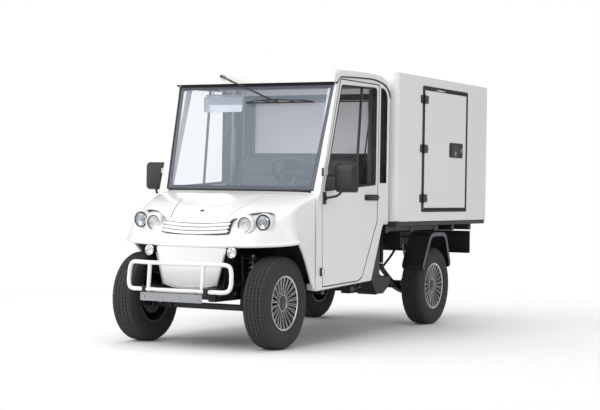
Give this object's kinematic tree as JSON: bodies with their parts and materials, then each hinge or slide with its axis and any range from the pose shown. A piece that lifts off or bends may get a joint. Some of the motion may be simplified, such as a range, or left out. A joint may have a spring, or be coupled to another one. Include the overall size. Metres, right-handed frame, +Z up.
{
  "type": "electric utility van",
  "caption": "Small electric utility van with a two-seat cab, a closed cargo box with side and rear doors, steered front wheels and a tubular front guard.",
  "frame": {"origin": "on the ground under the middle of the whole van's box", "axes": "-Y is forward, +X is the van's left side, +Z is up"},
  "size_m": [1.604, 3.558, 1.828],
  "materials": {
    "white_paint": "gloss",
    "black_steel": "satin",
    "black_plastic": "fine grain, matt",
    "grey_steel": "satin",
    "tyre_rubber": "matt",
    "wheel_cover": "satin black with silver edges",
    "tinted_glass": "clear, lightly tinted",
    "lamp_lens": "clear lens over a bright reflector",
    "red_lens": "gloss",
    "seat_vinyl": "fine grained vinyl"
  },
  "bodies": {
    "van_body": {"cab_frame": "white_paint", "cab_rear_wall": "white_paint", "roof": "white_paint", "front_body": "white_paint", "nose_skirt": "white_paint", "bull_bar": "white_paint", "cargo_box": "white_paint", "chassis_frame": "black_steel", "box_frame": "black_steel", "front_axle": "black_steel", "rear_axle": "black_steel", "mudguard_left": "black_steel", "mudguard_right": "black_steel", "cab_floor": "black_steel", "bulkhead": "black_steel", "rear_lamp_board": "black_steel", "battery_pack": "black_plastic", "wiper": "black_plastic", "dashboard": "black_plastic", "seat_box": "black_plastic", "bumper_plate": "grey_steel", "windscreen": "tinted_glass", "rear_window": "tinted_glass", "quarter_window_left": "tinted_glass", "quarter_window_right": "tinted_glass", "headlamp_left": "lamp_lens", "headlamp_right": "lamp_lens", "fog_lamp_left": "lamp_lens", "fog_lamp_right": "lamp_lens", "tail_lamp_left": "red_lens", "tail_lamp_right": "red_lens", "seat_cushion_left": "seat_vinyl", "seat_cushion_right": "seat_vinyl", "seat_back_left": "seat_vinyl", "seat_back_right": "seat_vinyl"},
    "knuckle_left": {"knuckle_left": "black_steel"},
    "knuckle_right": {"knuckle_right": "black_steel"},
    "tie_rod": {"tie_rod": "grey_steel"},
    "steering_wheel": {"steering_wheel": "black_plastic"},
    "bonnet": {"bonnet": "white_paint"},
    "wheel_front_left": {"tyre_front_left": "tyre_rubber", "rim_front_left": "wheel_cover"},
    "wheel_rear_left": {"tyre_rear_left": "tyre_rubber", "rim_rear_left": "wheel_cover"},
    "door_left": {"door_left": "white_paint", "door_glass_left": "tinted_glass", "mirror_left": "black_plastic"},
    "box_door_left": {"box_door_left": "white_paint"},
    "rear_door_left": {"rear_door_left": "white_paint"},
    "wheel_front_right": {"tyre_front_right": "tyre_rubber", "rim_front_right": "wheel_cover"},
    "wheel_rear_right": {"tyre_rear_right": "tyre_rubber", "rim_rear_right": "wheel_cover"},
    "door_right": {"door_right": "white_paint", "door_glass_right": "tinted_glass", "mirror_right": "black_plastic"},
    "box_door_right": {"box_door_right": "white_paint"},
    "rear_door_right": {"rear_door_right": "white_paint"}
  },
  "joints": [
    {"name": "steer_left", "type": "hinge", "parent": "van_body", "child": "knuckle_left", "pos_m": [0.425, -1.329, 0.289], "axis": [0, 0, 1], "range_deg": [-32, 32]},
    {"name": "steer_right", "type": "hinge", "parent": "van_body", "child": "knuckle_right", "pos_m": [-0.425, -1.329, 0.289], "axis": [0, 0, 1], "range_deg": [-32, 32]},
    {"name": "tie_rod_slide", "type": "slide", "parent": "van_body", "child": "tie_rod", "axis": [1, 0, 0], "range_m": [-0.0405, 0.0405]},
    {"name": "steering_wheel_turn", "type": "hinge", "parent": "van_body", "child": "steering_wheel", "pos_m": [0.286, -0.699, 1.1], "axis": [0, 0.5843, 0.8115], "range_deg": [-325, 325]},
    {"name": "bonnet_lift", "type": "hinge", "parent": "van_body", "child": "bonnet", "pos_m": [0, -1.075, 0.968], "axis": [-1, 0, 0], "range_deg": [0, 60]},
    {"name": "wheel_front_left_spin", "type": "hinge", "parent": "knuckle_left", "child": "wheel_front_left", "pos_m": [0.482, -1.329, 0.289], "axis": [1, 0, 0], "continuous": true},
    {"name": "wheel_rear_left_spin", "type": "hinge", "parent": "van_body", "child": "wheel_rear_left", "pos_m": [0.482, 1.001, 0.289], "axis": [1, 0, 0], "continuous": true},
    {"name": "door_left_open", "type": "hinge", "parent": "van_body", "child": "door_left", "pos_m": [0.62, -0.977, 0.8], "axis": [0, 0, -1], "range_deg": [0, 72]},
    {"name": "box_door_left_open", "type": "hinge", "parent": "van_body", "child": "box_door_left", "pos_m": [0.672, 0.509, 1.305], "axis": [0, 0, -1], "range_deg": [0, 120]},
    {"name": "rear_door_left_open", "type": "hinge", "parent": "van_body", "child": "rear_door_left", "pos_m": [0.65, 1.759, 1.305], "axis": [0, 0, -1], "range_deg": [0, 180]},
    {"name": "wheel_front_right_spin", "type": "hinge", "parent": "knuckle_right", "child": "wheel_front_right", "pos_m": [-0.482, -1.329, 0.289], "axis": [1, 0, 0], "continuous": true},
    {"name": "wheel_rear_right_spin", "type": "hinge", "parent": "van_body", "child": "wheel_rear_right", "pos_m": [-0.482, 1.001, 0.289], "axis": [1, 0, 0], "continuous": true},
    {"name": "door_right_open", "type": "hinge", "parent": "van_body", "child": "door_right", "pos_m": [-0.62, -0.977, 0.8], "axis": [0, 0, 1], "range_deg": [0, 72]},
    {"name": "box_door_right_open", "type": "hinge", "parent": "van_body", "child": "box_door_right", "pos_m": [-0.672, 0.509, 1.305], "axis": [0, 0, 1], "range_deg": [0, 120]},
    {"name": "rear_door_right_open", "type": "hinge", "parent": "van_body", "child": "rear_door_right", "pos_m": [-0.65, 1.759, 1.305], "axis": [0, 0, 1], "range_deg": [0, 180]}
  ],
  "couplings": [
    {"joint": "steer_right", "follows": "steer_left", "ratio": 1},
    {"joint": "tie_rod_slide", "follows": "steer_left", "m_per_rad": -0.0715},
    {"joint": "steering_wheel_turn", "follows": "steer_left", "ratio": 10}
  ]
}
